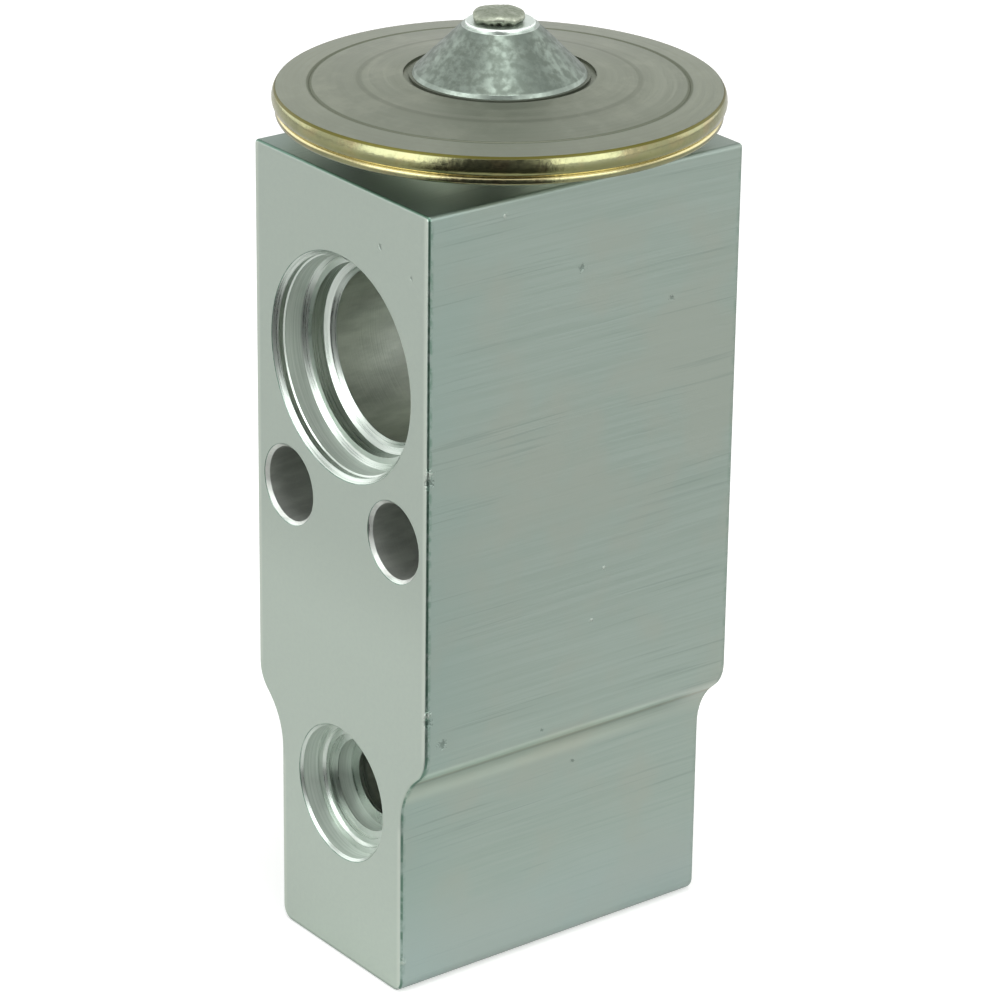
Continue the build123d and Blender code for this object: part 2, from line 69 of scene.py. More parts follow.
# Levels and radii of the CAD pieces that the finishes follow, in millimetres
BLOCK_HALF_DEPTH = 17.25
BLOCK_TOP = 76.0
SUCTION_SEAT_DEPTH = 5.2
RIM_SEAM_RADIUS = 19.5
RIM_TOP = 81.15
RIM_BEAD_TOP = 79.0
RIM_BOTTOM = 78.5
CONE_FOOT_TOP = 82.57
CONE_TOP = 86.72
COLLAR_TOP = 87.07

# What counts as inside the block, clear of its rounded edges, in millimetres. The two half widths
# belong to the foot and to the block above it, and the two heights are where one goes over to the other.
WIDENING_HEIGHTS = (24.0, 26.0)
INNER_HALF_WIDTHS = (9.0, 12.5)
INNER_HALF_DEPTH = 17.2
EDGE_ROUND = 0.3

# The suction port lies above the first height, the liquid port below the second, and the bolt holes
# between them and further from the middle than the third value
SUCTION_PORT_ABOVE = 48.1
LIQUID_PORT_BELOW = 41.0
BOLT_HOLES_BEYOND = 4.3

# Bands of the finishes, in millimetres: where each one starts, is full, stops being full and ends
SUCTION_SEAT = (14.45, 14.6, 16.1, 16.25)
LIQUID_SEAT = (15.3, 15.4, 16.9, 17.0)
LIQUID_PILOT = (12.9, 13.0, 14.3, 14.4)
SHOULDER_BEND = (17.0, 19.4, 24.5, 26.0)
SHOULDER_HOLLOW = (21.8, 22.4, 23.05, 23.95)
SHOULDER_CREASE = (21.75, 22.0, 22.25, 22.5)
SHOULDER_BELOW = (18.9, 20.4, 21.5, 22.0)
RIM_LOW = (RIM_BEAD_TOP, RIM_BEAD_TOP + 0.2, 79.7, 80.5)
RIM_GROOVE = (RIM_BEAD_TOP, RIM_BEAD_TOP + 0.1, 79.45, 79.6)
COVER_RING = (12.0, 12.25, 12.5, 12.75)
COVER_LINE = (16.45, 16.6, 16.9, 17.05)

# Fused plug: sizes in millimetres, its outline as (share of the height, share of the radius), and its
# notches as (degrees from the camera's azimuth, spread in degrees, depth as a share of the radius)
PLUG_MIDDLE = (0.08, -0.25, 0)
PLUG_R = 2.3
PLUG_HEIGHT = 1.08
PLUG_SUNK = 0.02
PLUG_SQUARENESS = 2.8
PLUG_STEM_R = 1.18
PLUG_STEM_LENGTH = 4.0
PLUG_TURNS = 96
PLUG_OUTLINE = [
    (0.0, 0.92), (0.12, 0.95), (0.26, 0.985), (0.42, 1.0), (0.58, 0.985), (0.72, 0.94), (0.83, 0.86),
    (0.91, 0.75), (0.96, 0.60), (0.99, 0.42), (1.0, 0.2),
]
PLUG_NOTCHES = [
    (-84, 12, 0.16), (-38, 12, 0.26), (-17, 5, 0.24), (0, 7, 0.34), (24, 8, 0.30), (56, 18, 0.26),
    (100, 10, 0.18), (150, 14, 0.22), (205, 16, 0.22), (245, 9, 0.18),
]
PLUG_NOTCH_TOP = 0.55

# Small marks on the near faces of the block: x, y, z and radius, in millimetres
DARK_PITS = [
    (13.0, -0.7, 68.1, 0.26), (13.0, 9.5, 63.1, 0.22), (13.0, -4.2, 24.5, 0.20),
    (13.0, -15.4, 26.3, 0.36), (9.4, 2.2, 18.2, 0.16), (6.0, -17.25, 71.4, 0.20),
    (10.5, -17.25, 69.9, 0.15), (13.0, -17.1, 51.8, 0.40), (13.0, -17.1, 28.9, 0.40),
]
LIGHT_SCUFFS = [
    (13.0, 1.2, 34.0, 0.16), (13.0, 2.5, 38.8, 0.14), (13.0, -9.2, 74.6, 0.16),
    (13.0, -17.1, 52.6, 0.36), (13.0, -17.1, 29.6, 0.30), (9.4, -17.1, 3.3, 0.26),
]

# The range that most of a noise's values fill
NOISE_LOW, NOISE_HIGH = 0.3, 0.7

# White surroundings: half the floor's width (metres), what the floor adds to its lit colour, between
# which distances it fades (millimetres), and how strongly the world lights
FLOOR_HALF = 3.0
FLOOR_GLOW_SEEN = 0.45
FLOOR_GLOW_MIRRORED = 0.2
FLOOR_FADE_START = 200.0
FLOOR_FADE_END = 600.0
WORLD_LIGHT = 0.33

# Glossy bounces, enough for the light between the walls of the bores
GLOSSY_BOUNCES = 10

# Soft lights: name, place, width and height in metres, power in watts, all aimed at one point
SOFTBOXES = [
    ("softbox_left", (0.02, -0.80, 0.36), 0.62, 0.66, 3.75),
    ("softbox_right", (0.83, 0.05, 0.36), 0.70, 0.66, 3.7),
    ("softbox_top", (0.15, -0.08, 0.95), 0.42, 0.42, 2.3),
    ("softbox_back_left", (-0.85, -0.25, 0.40), 0.7, 0.7, 1.5),
    ("softbox_back_right", (0.10, 0.88, 0.40), 0.7, 0.7, 1.5),
]
SOFTBOX_AIM = (0, 0, 0.045)

# Cards that only the metal's reflections show. The dark room lies on the camera's side of the valve,
# the grey wall behind it. Reaches and heights in metres, angles in degrees from +X towards +Y.
# The corners are those of the dark floor next to the valve.
CARD_LEVEL = 0.0005
FLOOR_CARD_CORNERS = [(-0.005, -0.048), (0.045, 0.0), (0.045, -0.048)]
ROOM_REACH, ROOM_TOP, ROOM_HALF_TURN = 0.62, 0.55, 27
ROOM_GREY = 0.025
WALL_REACH, WALL_BOTTOM, WALL_TOP, WALL_AZIMUTH = 0.9, 0.38, 1.3, 142
WALL_HALF_TURN = math.degrees(0.75)
WALL_GREY = 0.7


def tone(red, green, blue):
    """Linear colour of an sRGB tone given from 0 to 255."""
    def linear(value):
        share = value / 255
        return share / 12.92 if share <= 0.04045 else ((share + 0.055) / 1.055) ** 2.4
    return linear(red), linear(green), linear(blue), 1.0


def even(value):
    """The same value in every channel, for a roughness that meets a colour socket."""
    return value, value, value, 1.0


class Finish:
    """One material's nodes. Lengths inside are millimetres in the frame of the part."""

    def __init__(self, name, **sockets):
        self.material = bpy.data.materials.new(name)
        self.material.use_nodes = True
        self.tree = self.material.node_tree
        self.shader = self.tree.nodes["Principled BSDF"]
        for key, value in sockets.items():
            self.shader.inputs[key.replace("_", " ")].default_value = value
        coordinates = self.add("ShaderNodeTexCoord")
        self.place = self.vector("MULTIPLY", coordinates.outputs["Object"], (1000, 1000, 1000))
        self.normal = coordinates.outputs["Normal"]
        self.x, self.y, self.z = self.parts(self.place)

    def add(self, kind, inputs=(), **settings):
        node = self.tree.nodes.new(kind)
        for key, value in settings.items():
            setattr(node, key, value)
        for key, value in dict(inputs).items():
            if isinstance(value, bpy.types.NodeSocket):
                self.tree.links.new(value, node.inputs[key])
            else:
                node.inputs[key].default_value = value
        return node

    def math(self, operation, *values):
        return self.add("ShaderNodeMath", enumerate(values), operation=operation).outputs[0]

    def vector(self, operation, *values):
        return self.add("ShaderNodeVectorMath", enumerate(values), operation=operation).outputs[0]

    def parts(self, vector):
        return tuple(self.add("ShaderNodeSeparateXYZ", {0: vector}).outputs)

    def joined(self, x, y, z):
        return self.add("ShaderNodeCombineXYZ", {0: x, 1: y, 2: z}).outputs[0]

    def noise(self, vector, scale=1.0, detail=3.0, roughness=0.5):
        """Noise from 0 to 1 at `scale` cells per millimetre."""
        sockets = {"Vector": vector, "Scale": scale, "Detail": detail, "Roughness": roughness}
        return self.add("ShaderNodeTexNoise", sockets).outputs[0]

    def streaks(self, vector, cells, detail=3.0, roughness=0.5):
        """Noise from 0 to 1 with its own number of cells per millimetre along each axis."""
        return self.noise(self.vector("MULTIPLY", vector, cells), 1.0, detail, roughness)

    def between(self, value, start, end, low=0.0, high=1.0):
        """`low` where value is under start, `high` where it is over end, blended between."""
        sockets = {"Value": value, "From Min": start, "From Max": end, "To Min": low, "To Max": high}
        return self.add("ShaderNodeMapRange", sockets, interpolation_type="SMOOTHSTEP").outputs[0]

    def stretched(self, grain, low=0.0, high=1.0):
        """A noise whose usual range is spread from `low` to `high`."""
        return self.between(grain, NOISE_LOW, NOISE_HIGH, low, high)

    def times(self, first, *others):
        """Product of all the values."""
        for other in others:
            first = self.math("MULTIPLY", first, other)
        return first

    def band(self, value, start, full, past, end):
        """1 where value lies from `full` to `past`, fading to 0 at `start` and at `end`."""
        return self.times(self.between(value, start, full), self.between(value, end, past))

    def mix(self, share, first, second):
        sockets = {0: share, 6: first, 7: second}
        return self.add("ShaderNodeMix", sockets, data_type="RGBA").outputs[2]

    def scaled(self, colour, factor):
        sockets = {0: colour, "Scale": factor}
        return self.add("ShaderNodeVectorMath", sockets, operation="SCALE").outputs[0]

    def bump(self, height, depth, normal=None):
        """Surface relief `depth` millimetres high where height is 1."""
        sockets = {"Height": height, "Distance": depth * MM, "Strength": 1.0}
        if normal is not None:
            sockets["Normal"] = normal
        return self.add("ShaderNodeBump", sockets).outputs[0]

    def feed(self, **sockets):
        for key, socket in sockets.items():
            self.tree.links.new(socket, self.shader.inputs[key.replace("_", " ")])
        return self.material

    def spots(self, marks, size):
        """1 at each of the marks (x, y, z, radius), fading out over `size` of the radius."""
        found = 0.0
        torn = self.stretched(self.noise(self.place, 4.0, 2.0), 0.6, 1.6)
        for x, y, z, radius in marks:
            away = self.add("ShaderNodeVectorMath", {0: self.place, 1: (x, y, z)},
                            operation="DISTANCE").outputs["Value"]
            mark = self.between(self.times(away, torn), radius * (1 + size), radius * (1 - size))
            found = self.math("MAXIMUM", found, mark)
        return found

    def radius(self):
        """Distance from the stem's axis, in millimetres."""
        flat = self.joined(self.x, self.y, 0.0)
        return self.add("ShaderNodeVectorMath", {0: flat}, operation="LENGTH").outputs["Value"]


def body_aluminium():
    """Extruded and milled block: streaked sides, satin port faces, turned ports."""
    f = Finish("body_aluminium", Metallic=1.0)
    across, along = (f.math("ABSOLUTE", part) for part in f.parts(f.normal)[:2])
    width, depth = f.math("ABSOLUTE", f.x), f.math("ABSOLUTE", f.y)

    # Sides: die lines along Y, broken into patches, on a cool grey with warmer stretches
    wave = f.times(f.noise(f.place, 0.06, 1.0), 0.6)
    drawn = f.joined(f.x, f.y, f.math("ADD", f.z, wave))
    lines = f.streaks(drawn, (3.5, 0.06, 3.5), 4.0, 0.6)
    scratches = f.streaks(drawn, (3.0, 0.045, 3.0), 2.0, 0.5)
    patches = f.streaks(f.place, (0.25, 0.07, 0.25), 3.0)
    cloud = f.noise(f.place, 0.12, 3.0)
    side = f.mix(f.stretched(lines), tone(146, 160, 151), tone(153, 166, 158))
    side = f.mix(f.between(cloud, 0.42, 0.62, 0.0, 0.7), side, tone(154, 162, 152))
    side = f.mix(f.between(f.y, -8.0, -17.0, 0.0, 0.5), side, tone(143, 162, 155))
    scratched = f.times(f.between(scratches, 0.57, 0.70), f.between(patches, 0.42, 0.58))
    side = f.mix(f.times(scratched, 0.3), side, tone(118, 134, 126))
    # Painted reflection of the bright floor: the sides lighter towards the foot, and bluer there too
    side = f.scaled(side, f.between(f.z, 45.0, 14.0, 0.955, 1.06))
    side = f.mix(f.between(f.z, 12.0, 2.0, 0.0, 0.5), side, tone(150, 164, 163))
    side = f.scaled(side, f.between(f.z, 14.0, 1.0, 1.0, 1.13))

    # Shoulder: painted light makes it paler on the bend, in the hollow and below it, with a thin brown
    # line between these two
    bend_light = f.band(f.z, *SHOULDER_BEND)
    side = f.scaled(side, f.between(bend_light, 0.0, 1.0, 1.0, 1.05))
    fading = f.between(f.y, 4.0, 14.0, 1.0, 0.4)
    hollow_light = f.times(f.band(f.z, *SHOULDER_HOLLOW), fading)
    side = f.scaled(side, f.between(hollow_light, 0.0, 1.0, 1.0, 1.68))
    below_light = f.times(f.band(f.z, *SHOULDER_BELOW), fading)
    side = f.scaled(side, f.between(below_light, 0.0, 1.0, 1.0, 1.2))
    side = f.mix(f.times(f.math("MAXIMUM", hollow_light, below_light), 0.2), side, tone(190, 186, 164))
    side = f.mix(f.times(f.band(f.z, *SHOULDER_CREASE), 0.4), side, tone(152, 145, 124))

    # Port faces: even satin, with painted light that makes them lighter towards the foot, and a painted
    # highlight along the upright edges
    grain = f.noise(f.place, 2.2, 4.0, 0.65)
    face = f.mix(f.stretched(grain), tone(169, 180, 171), tone(174, 185, 175))
    face = f.scaled(face, f.between(f.z, 44.0, 32.0, 0.925, 1.03))
    face = f.scaled(face, f.between(f.z, 24.0, 3.0, 1.0, 1.05))
    # Painted highlight along the upright edges of the port faces
    edge_highlight = f.times(f.between(width, 12.2, 12.6), f.between(f.z, *WIDENING_HEIGHTS))
    foot_edge_highlight = f.times(f.between(width, 8.6, 9.0), f.between(f.z, 17.5, 16.0))
    face = f.mix(f.times(f.math("MAXIMUM", edge_highlight, foot_edge_highlight), 0.5), face, tone(196, 204, 194))
    on_face = f.between(along, 0.80, 0.97)
    colour = f.mix(on_face, side, face)

    # Painted shade: a dark line round the foot's lowest edge
    colour = f.mix(f.between(f.z, 0.5, 0.15, 0.0, 0.55), colour, tone(104, 120, 108))

    # Rounded edges of the port faces: a painted dark green reflection on them, frayed onto the sides
    edge = f.band(along, 0.12, 0.35, 0.75, 0.92)
    reflection_breaks = f.streaks(f.place, (1.0, 1.0, 0.8), 4.0, 0.7)
    side_dark_reflection = f.times(f.between(depth, 16.6, 17.0), f.between(across, 0.5, 0.8),
                   f.between(reflection_breaks, 0.42, 0.60), f.between(f.y, -1.0, 1.0, 0.85, 0.35),
                   f.between(f.z, 20.0, 23.0, 0.4, 1.0))
    dark_reflection_share = f.between(f.noise(f.place, 0.7, 3.0), 0.38, 0.56, 0.2, 1.0)
    dark_reflection_share = f.math("MAXIMUM", dark_reflection_share, f.between(f.z, 70.5, 72.0))
    dark_reflection_share = f.times(dark_reflection_share, f.between(f.y, -1.0, 1.0, 1.0, 0.45))
    colour = f.mix(f.times(edge, dark_reflection_share), colour, tone(96, 124, 110))
    colour = f.mix(side_dark_reflection, colour, tone(104, 132, 118))

    # Small marks: dark pits and light scuffs, which meet in two nicks on the near edge
    pits = f.spots(DARK_PITS, 0.6)
    colour = f.mix(f.times(pits, 0.5), colour, tone(84, 100, 92))
    scuffs = f.spots(LIGHT_SCUFFS, 0.7)
    colour = f.mix(f.times(scuffs, 0.4), colour, tone(206, 214, 204))

    # Inside the ports, holes and bores
    limit = f.between(f.z, *WIDENING_HEIGHTS, *INNER_HALF_WIDTHS)
    inner = f.times(f.math("LESS_THAN", width, limit), f.math("LESS_THAN", depth, INNER_HALF_DEPTH),
                    f.math("LESS_THAN", f.z, BLOCK_TOP - EDGE_ROUND),
                    f.math("GREATER_THAN", f.z, EDGE_ROUND))
    rings = f.streaks(f.place, (0.12, 7.0, 0.12), 4.0, 0.6)
    turned = f.mix(f.stretched(rings), tone(174, 184, 176), tone(206, 214, 207))
    seat = f.times(f.band(depth, *SUCTION_SEAT), f.math("GREATER_THAN", f.z, SUCTION_PORT_ABOVE))
    low_seat = f.math("MAXIMUM", f.band(depth, *LIQUID_SEAT), f.band(depth, *LIQUID_PILOT))
    low_seat = f.times(low_seat, f.math("LESS_THAN", f.z, LIQUID_PORT_BELOW))
    seat = f.math("MAXIMUM", seat, low_seat)
    pale = f.mix(f.stretched(rings), tone(203, 214, 205), tone(225, 233, 226))
    turned = f.mix(seat, turned, pale)
    brush = f.streaks(f.place, (0.9, 0.25, 0.9), 4.0, 0.6)
    bored = f.mix(f.stretched(brush), tone(193, 198, 189), tone(216, 220, 211))
    drilled = f.mix(f.stretched(brush), tone(190, 194, 189), tone(214, 218, 212))
    seat_end = BLOCK_HALF_DEPTH - SUCTION_SEAT_DEPTH
    deep = f.between(depth, seat_end, seat_end - 0.2)
    hole = f.times(f.math("GREATER_THAN", width, BOLT_HOLES_BEYOND),
                   f.math("LESS_THAN", f.z, SUCTION_PORT_ABOVE),
                   f.math("GREATER_THAN", f.z, LIQUID_PORT_BELOW))
    metal = f.between(f.times(seat, inner), 0.0, 1.0, 1.0, 0.65)
    inside = f.mix(hole, f.mix(deep, turned, bored), drilled)
    colour = f.mix(inner, colour, inside)

    # Roughness and relief
    rough = f.between(lines, 0.25, 0.75, 0.34, 0.44)
    rough = f.mix(on_face, rough, f.stretched(grain, 0.38, 0.46))
    smooth = f.stretched(rings, 0.24, 0.36)
    smooth = f.mix(f.math("MAXIMUM", seat, f.times(deep, 0.5)), smooth, even(0.4))
    smooth = f.mix(hole, smooth, even(0.5))
    rough = f.mix(inner, rough, smooth)
    relief = f.times(f.stretched(lines), f.math("SUBTRACT", 1.0, on_face))
    relief = f.math("SUBTRACT", relief, f.times(scratched, 0.6))
    relief = f.times(relief, f.math("SUBTRACT", 1.0, inner))
    normal = f.bump(relief, 0.005)
    normal = f.bump(f.times(grain, on_face), 0.006, normal)
    normal = f.bump(f.math("SUBTRACT", scuffs, pits), 0.05, normal)
    normal = f.bump(f.times(rings, inner), 0.012, normal)
    return f.feed(Base_Color=colour, Roughness=rough, Metallic=metal, Normal=normal)


def yellow_plated_steel():
    """Yellow plating on the lower housing: its hub, its bead and the rim rolled up over the cover."""
    f = Finish("yellow_plated_steel", Metallic=1.0, Anisotropic=0.3)
    cloud = f.noise(f.place, 0.28, 3.0)
    hue = f.mix(f.between(cloud, 0.35, 0.65), tone(153, 154, 115), tone(139, 141, 108))
    blush = f.noise(f.vector("ADD", f.place, (40.0, 15.0, 5.0)), 0.4, 3.0)
    hue = f.mix(f.between(blush, 0.5, 0.7, 0.0, 0.5), hue, tone(160, 142, 106))
    grain = f.noise(f.place, 3.0, 4.0, 0.6)
    hue = f.mix(f.between(grain, 0.55, 0.75, 0.0, 0.3), hue, tone(112, 108, 62))

    # Painted dark reflection: deeper olive low on the rolled rim, and the bead darker
    hue = f.mix(f.times(f.band(f.z, *RIM_LOW), 0.6), hue, tone(113, 114, 67))
    hue = f.scaled(hue, f.between(f.z, RIM_BEAD_TOP + 0.2, RIM_BEAD_TOP, 1.0, 0.75))

    # Olive line where the rim closes on the cover, painted light that makes the groove over the bead
    # pale, dull metal underneath
    reach = f.radius()
    seam = f.times(f.between(reach, RIM_SEAM_RADIUS + 0.52, RIM_SEAM_RADIUS + 0.42),
                   f.between(f.z, RIM_TOP - 0.26, RIM_TOP - 0.18))
    hue = f.mix(seam, hue, tone(96, 93, 48))
    # Painted light: the groove over the bead made pale against its shade
    groove_light = f.times(f.between(reach, 19.85, 19.65), f.band(f.z, *RIM_GROOVE))
    hue = f.mix(f.times(groove_light, 0.8), hue, tone(206, 196, 150))
    under = f.between(f.z, RIM_BOTTOM + 0.12, RIM_BOTTOM)
    hue = f.mix(under, hue, tone(206, 211, 194))
    rough = f.stretched(grain, 0.16, 0.26)
    rough = f.mix(f.math("MAXIMUM", under, seam), rough, even(0.42))
    ripple = f.noise(f.place, 1.4, 4.0, 0.6)
    return f.feed(Base_Color=hue, Roughness=rough, Normal=f.bump(ripple, 0.02))


def turned_grooves(f, pitch, angle_drift):
    """Fine concentric tool marks on a face turned about the stem's axis."""
    angle = f.math("ARCTAN2", f.y, f.x)
    drift = f.times(f.math("SINE", angle), angle_drift)
    return f.noise(f.joined(f.times(f.radius(), pitch), drift, 0.0), 1.0, 4.0, 0.65)


def cover_steel():
    """Turned upper cover: olive-grey satin with concentric tool marks and a scribed line."""
    f = Finish("cover_steel", Metallic=1.0, Anisotropic=0.4)
    reach = f.radius()
    grooves = turned_grooves(f, 2.6, 0.5)
    broad = turned_grooves(f, 0.45, 0.3)
    hue = f.mix(f.stretched(grooves), tone(138, 143, 129), tone(151, 155, 142))
    hue = f.mix(f.between(broad, 0.35, 0.65, 0.0, 0.5), hue, tone(130, 135, 121))
    stain = f.noise(f.place, 0.35, 4.0, 0.6)
    hue = f.mix(f.between(stain, 0.45, 0.7, 0.0, 0.5), hue, tone(158, 161, 147))
    hue = f.mix(f.times(f.band(reach, *COVER_RING), 0.4), hue, tone(112, 117, 103))
    # Painted shadow: darker towards the cone's foot
    hue = f.mix(f.between(reach, 8.8, 7.4, 0.0, 0.75), hue, tone(84, 91, 80))
    hue = f.mix(f.between(reach, 16.9, 17.2, 0.0, 0.45), hue, tone(158, 162, 148))
    line = f.band(reach, *COVER_LINE)
    hue = f.mix(line, hue, tone(108, 113, 98))
    rough = f.stretched(grooves, 0.42, 0.54)
    rough = f.mix(line, rough, even(0.6))
    tangent = f.add("ShaderNodeTangent", direction_type="RADIAL", axis="Z").outputs[0]
    normal = f.bump(grooves, 0.008, f.bump(broad, 0.06))
    return f.feed(Base_Color=hue, Roughness=rough, Tangent=tangent, Normal=normal)


def cone_steel():
    """Charge cone: mottled blue-grey steel with a painted highlight along its foot, and its collar
    bright.
    """
    f = Finish("cone_steel", Metallic=1.0, Anisotropic=0.2)
    mottle = f.noise(f.place, 1.3, 4.0, 0.55)
    broad = f.noise(f.place, 0.28, 2.0)
    hue = f.mix(f.between(mottle, 0.36, 0.66), tone(102, 111, 102), tone(127, 138, 129))
    hue = f.mix(f.between(broad, 0.35, 0.65, 0.0, 0.6), hue, tone(100, 110, 102))
    # Painted highlight along the cone's foot
    foot_highlight = f.between(f.z, CONE_FOOT_TOP + 0.1, CONE_FOOT_TOP)
    hue = f.mix(f.times(foot_highlight, 0.35), hue, tone(166, 178, 169))
    collar = f.between(f.z, CONE_TOP - 0.05, CONE_TOP + 0.05)
    hue = f.mix(collar, hue, tone(226, 234, 228))
    rough = f.between(mottle, 0.35, 0.65, 0.46, 0.34)
    return f.feed(Base_Color=hue, Roughness=rough, Normal=f.bump(mottle, 0.012))


def plug_steel():
    """Plug: fused, rough and matt, with painted shade low on its head."""
    f = Finish("plug_steel", Metallic=1.0)
    mottle = f.noise(f.place, 1.6, 4.0, 0.6)
    hue = f.mix(f.between(mottle, 0.36, 0.64), tone(144, 151, 135), tone(166, 172, 156))
    # Painted shade low on the head, where it undercuts
    undercut_shade = f.between(f.z, COLLAR_TOP + 0.6, COLLAR_TOP + 0.1)
    hue = f.mix(f.times(undercut_shade, 0.75), hue, tone(76, 84, 72))
    rough = f.between(mottle, 0.35, 0.65, 0.62, 0.42)
    return f.feed(Base_Color=hue, Roughness=rough, Normal=f.bump(mottle, 0.04))


def brushed_metal(name, dark, light, rough):
    """Machined metal with fine marks round the stem's axis."""
    f = Finish(name, Metallic=1.0)
    marks = f.streaks(f.place, (0.3, 0.3, 3.0), 4.0, 0.6)
    stain = f.noise(f.place, 0.8, 4.0, 0.6)
    hue = f.mix(f.stretched(marks), dark, light)
    hue = f.mix(f.between(stain, 0.5, 0.75, 0.0, 0.4), hue, dark)
    roughness = f.stretched(marks, rough, rough + 0.12)
    return f.feed(Base_Color=hue, Roughness=roughness, Normal=f.bump(marks, 0.006))


def seal_rubber():
    """Dark green moulded rubber of the sealing rings."""
    f = Finish("seal_rubber")
    grain = f.noise(f.place, 5.0, 4.0, 0.6)
    hue = f.mix(f.stretched(grain), tone(24, 40, 31), tone(42, 62, 50))
    return f.feed(Base_Color=hue, Roughness=f.stretched(grain, 0.38, 0.55),
                  Normal=f.bump(grain, 0.01))


FINISHES = {
    "body_aluminium": body_aluminium(),
    "yellow_plated_steel": yellow_plated_steel(),
    "cover_steel": cover_steel(),
    "cone_steel": cone_steel(),
    "plug_steel": plug_steel(),
    "seal_rubber": seal_rubber(),
    "stainless": brushed_metal("stainless", tone(150, 152, 148), tone(196, 197, 192), 0.24),
    "polished_steel": brushed_metal("polished_steel", tone(186, 188, 188), tone(214, 216, 215), 0.08),
    "spring_steel": brushed_metal("spring_steel", tone(96, 98, 96), tone(142, 143, 138), 0.28),
    "screw_brass": brushed_metal("screw_brass", tone(168, 140, 74), tone(206, 178, 108), 0.24),
    "shaft_aluminium": brushed_metal("shaft_aluminium", tone(172, 178, 174), tone(202, 207, 203), 0.26),
    "diaphragm_steel": brushed_metal("diaphragm_steel", tone(168, 170, 166), tone(204, 205, 200), 0.16),
}


def dress_nodes():
    """Each CAD node takes the finish named by its own slot in the record."""
    slots = {part["node"]: part["material_slot"] for part in frame["record"]["subparts"]}
    for name, piece in NODES.items():
        piece.data.materials.clear()
        piece.data.materials.append(FINISHES[slots[name]])


def add_object(name, data):
    """New object of the scene that holds this mesh, lamp or camera."""
    thing = bpy.data.objects.new(name, data)
    bpy.context.scene.collection.objects.link(thing)
    return thing


def add_smooth(name, mesh, finish):
    """New object with smooth shading and this finish."""
    mesh.polygons.foreach_set("use_smooth", [True] * len(mesh.polygons))
    mesh.materials.append(FINISHES[finish])
    return add_object(name, mesh)


def plug_point(angle, share, width):
    """Point of the plug's head at this angle, `share` of its height up and `width` of its radius out."""
    out = Vector((math.cos(angle), math.sin(angle), 0))
    facing = angle - CAMERA_AZIMUTH
    lump = noise.noise(out * 1.6 + Vector((3.0, 7.0, share * 1.3)))
    crumb = noise.noise(out * 6.0 + Vector((1.0, 2.0, share * 5.0)))
    square = sum(abs(part) ** PLUG_SQUARENESS for part in (math.cos(facing), math.sin(facing)))
    reach = PLUG_R * width * square ** (-1 / PLUG_SQUARENESS)
    reach *= 1 + 0.05 * lump + 0.018 * crumb
    for centre, spread, depth in PLUG_NOTCHES:
        away = (math.degrees(facing) - centre + 180) % 360 - 180
        bite = math.exp(-(away / spread) ** 2) * max(0.0, 1 - share / PLUG_NOTCH_TOP)
        reach -= PLUG_R * depth * bite
    rise = PLUG_HEIGHT * share * (1 + 0.07 * lump + 0.03 * crumb)
    return Vector(PLUG_MIDDLE) + out * reach + Vector((0, 0, COLLAR_TOP - PLUG_SUNK + rise))


def add_plug():
    """Fused plug: a lumpy head with dark notches where it meets the collar, and its stem."""
    turns = PLUG_TURNS
    angles = [2 * math.pi * step / turns for step in range(turns)]
    stem_end = Vector((0, 0, COLLAR_TOP - PLUG_STEM_LENGTH))
    places = [Vector((math.cos(angle), math.sin(angle), 0)) * PLUG_STEM_R + stem_end for angle in angles]
    places += [plug_point(angle, share, width) for share, width in PLUG_OUTLINE for angle in angles]
    rings = len(PLUG_OUTLINE) + 1
    faces = [
        (ring * turns + step, ring * turns + (step + 1) % turns,
         (ring + 1) * turns + (step + 1) % turns, (ring + 1) * turns + step)
        for ring in range(rings - 1) for step in range(turns)
    ]
    faces.append(tuple(range(turns - 1, -1, -1)))
    faces.append(tuple((rings - 1) * turns + step for step in range(turns)))
    mesh = bpy.data.meshes.new("fused_plug")
    mesh.from_pydata([tuple(place * MM) for place in places], [], faces)
    plug = add_smooth("fused_plug", mesh, "plug_steel")
    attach(plug, "block")
    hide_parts("sealing_plug")


def add_superheat_spring():
    """Superheat spring in two halves that meet at mid height, each closed where it is cut.

    The lower half rises from the block, the upper half reaches up to the carrier.
    """
    source = NODES["superheat_spring"]
    heights = [vertex.co.z for vertex in source.data.vertices]
    bottom, top = min(heights), max(heights)
    middle = (bottom + top) / 2
    for name, body, end in (("superheat_spring_low", "adjuster_ring", bottom),
                            ("superheat_spring_high", "valve_train", top)):
        shape = bmesh.new()
        shape.from_mesh(source.data)
        bmesh.ops.remove_doubles(shape, verts=shape.verts, dist=WELD_DISTANCE)
        bmesh.ops.bisect_plane(
            shape, geom=shape.verts[:] + shape.edges[:] + shape.faces[:], plane_co=(0, 0, middle),
            plane_no=(0, 0, 1), clear_outer=end < middle, clear_inner=end > middle)
        bmesh.ops.holes_fill(shape, edges=[edge for edge in shape.edges if edge.is_boundary], sides=0)
        bmesh.ops.triangulate(shape, faces=[face for face in shape.faces if len(face.verts) > 4])
        mesh = bpy.data.meshes.new(name)
        shape.to_mesh(mesh)
        shape.free()
        half = add_smooth(name, mesh, "spring_steel")
        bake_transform(half)
        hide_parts("superheat_spring")


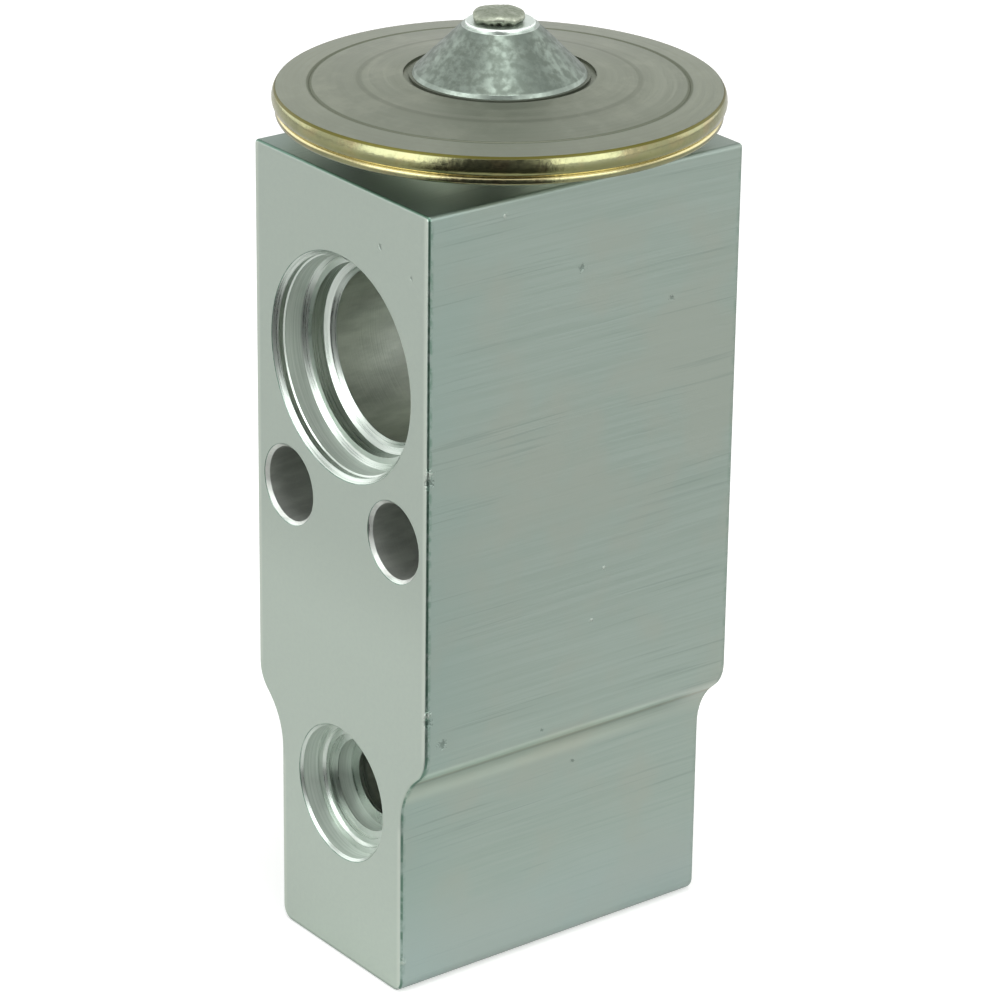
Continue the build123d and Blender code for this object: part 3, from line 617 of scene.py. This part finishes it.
def floor_finish():
    """Pale floor that fades into the white surroundings and keeps the valve's shadow."""
    f = Finish("floor_finish", Base_Color=(0.8, 0.8, 0.79, 1.0), Roughness=0.9,
               Specular_IOR_Level=0.0, Emission_Color=(1.0, 1.0, 1.0, 1.0))
    rays = f.add("ShaderNodeLightPath").outputs
    mirrored = f.math("MAXIMUM", rays["Is Glossy Ray"], rays["Is Transmission Ray"])
    away = f.add("ShaderNodeVectorMath", {0: f.place}, operation="LENGTH").outputs["Value"]
    seen = f.between(away, FLOOR_FADE_START, FLOOR_FADE_END, FLOOR_GLOW_SEEN, 1.0)
    glow = f.times(rays["Is Camera Ray"], seen)
    glow = f.math("ADD", glow, f.times(mirrored, FLOOR_GLOW_MIRRORED))
    return f.feed(Emission_Strength=glow)


def add_floor():
    """Plain square floor that the foot stands on."""
    mesh = bpy.data.meshes.new("floor")
    half = FLOOR_HALF
    mesh.from_pydata([(-half, -half, 0), (half, -half, 0), (half, half, 0), (-half, half, 0)],
                     [], [(0, 1, 2, 3)])
    mesh.materials.append(floor_finish())
    floor = add_object("floor", mesh)


def add_world():
    """White surroundings: full white where they are seen, softer where they only light."""
    world = bpy.data.worlds.new("surroundings")
    world.use_nodes = True
    bpy.context.scene.world = world
    nodes, links = world.node_tree.nodes, world.node_tree.links
    rays = nodes.new("ShaderNodeLightPath").outputs
    seen = rays["Is Camera Ray"]
    for ray in ("Is Glossy Ray", "Is Transmission Ray"):
        either = nodes.new("ShaderNodeMath")
        either.operation = "MAXIMUM"
        links.new(seen, either.inputs[0])
        links.new(rays[ray], either.inputs[1])
        seen = either.outputs[0]
    strength = nodes.new("ShaderNodeMapRange")
    strength.inputs["To Min"].default_value = WORLD_LIGHT
    strength.inputs["To Max"].default_value = 1.0
    links.new(seen, strength.inputs["Value"])
    background = nodes["Background"]
    background.inputs["Color"].default_value = (1.0, 1.0, 1.0, 1.0)
    links.new(strength.outputs[0], background.inputs["Strength"])


def add_softbox(name, place, width, height, power):
    """Rectangular soft light that looks at the middle of the valve."""
    lamp = bpy.data.lights.new(name, "AREA")
    lamp.shape = "RECTANGLE"
    lamp.size, lamp.size_y = width, height
    lamp.energy = power
    light = add_object(name, lamp)
    light.location = place
    aim = Vector(SOFTBOX_AIM) - Vector(place)
    light.rotation_euler = aim.to_track_quat("-Z", "Y").to_euler()
    light.visible_camera = False


def add_card(name, corners, grey):
    """Card that only the metal's reflections show."""
    mesh = bpy.data.meshes.new(name)
    mesh.from_pydata(corners, [], [tuple(range(len(corners)))])
    finish = Finish(name + "_finish", Base_Color=(grey, grey * 1.05, grey, 1.0), Roughness=1.0)
    mesh.materials.append(finish.material)
    card = add_object(name, mesh)
    card.visible_camera = card.visible_diffuse = card.visible_shadow = False


def around(reach, azimuth, height):
    """Point at this distance and azimuth (degrees) from the stem's axis."""
    angle = math.radians(azimuth)
    return reach * math.cos(angle), reach * math.sin(angle), height


def add_cards():
    """Dark floor and dark room on the camera's side, grey wall behind the valve."""
    ahead = math.degrees(CAMERA_AZIMUTH)
    left, right = ahead - ROOM_HALF_TURN, ahead + ROOM_HALF_TURN
    low_left, low_right = around(ROOM_REACH, left, CARD_LEVEL), around(ROOM_REACH, right, CARD_LEVEL)
    first, *others = [(x, y, CARD_LEVEL) for x, y in FLOOR_CARD_CORNERS]
    add_card("floor_card", [first, low_left, low_right, *others], ROOM_GREY)
    wall_left, wall_right = WALL_AZIMUTH - WALL_HALF_TURN, WALL_AZIMUTH + WALL_HALF_TURN
    add_card("back_card", [
        around(WALL_REACH, wall_left, WALL_BOTTOM), around(WALL_REACH, wall_right, WALL_BOTTOM),
        around(WALL_REACH, wall_right, WALL_TOP), around(WALL_REACH, wall_left, WALL_TOP)], WALL_GREY)
    add_card("room_card", [
        low_left, low_right, around(ROOM_REACH, right, ROOM_TOP), around(ROOM_REACH, left, ROOM_TOP),
    ], ROOM_GREY)


def add_camera():
    """Camera at the photo's angle, with no depth of field."""
    camera = bpy.data.cameras.new("camera")
    camera.lens = CAMERA_LENS
    camera.sensor_width = CAMERA_SENSOR
    holder = add_object("camera", camera)
    holder.location = CAMERA_PLACE
    holder.rotation_euler = [math.radians(angle) for angle in CAMERA_TURN]
    bpy.context.scene.camera = holder


dress_nodes()
add_plug()
add_superheat_spring()
add_floor()
add_world()
for softbox in SOFTBOXES:
    add_softbox(*softbox)
add_cards()
add_camera()

bpy.context.scene.view_settings.view_transform = "Standard"
bpy.context.scene.cycles.glossy_bounces = GLOSSY_BOUNCES
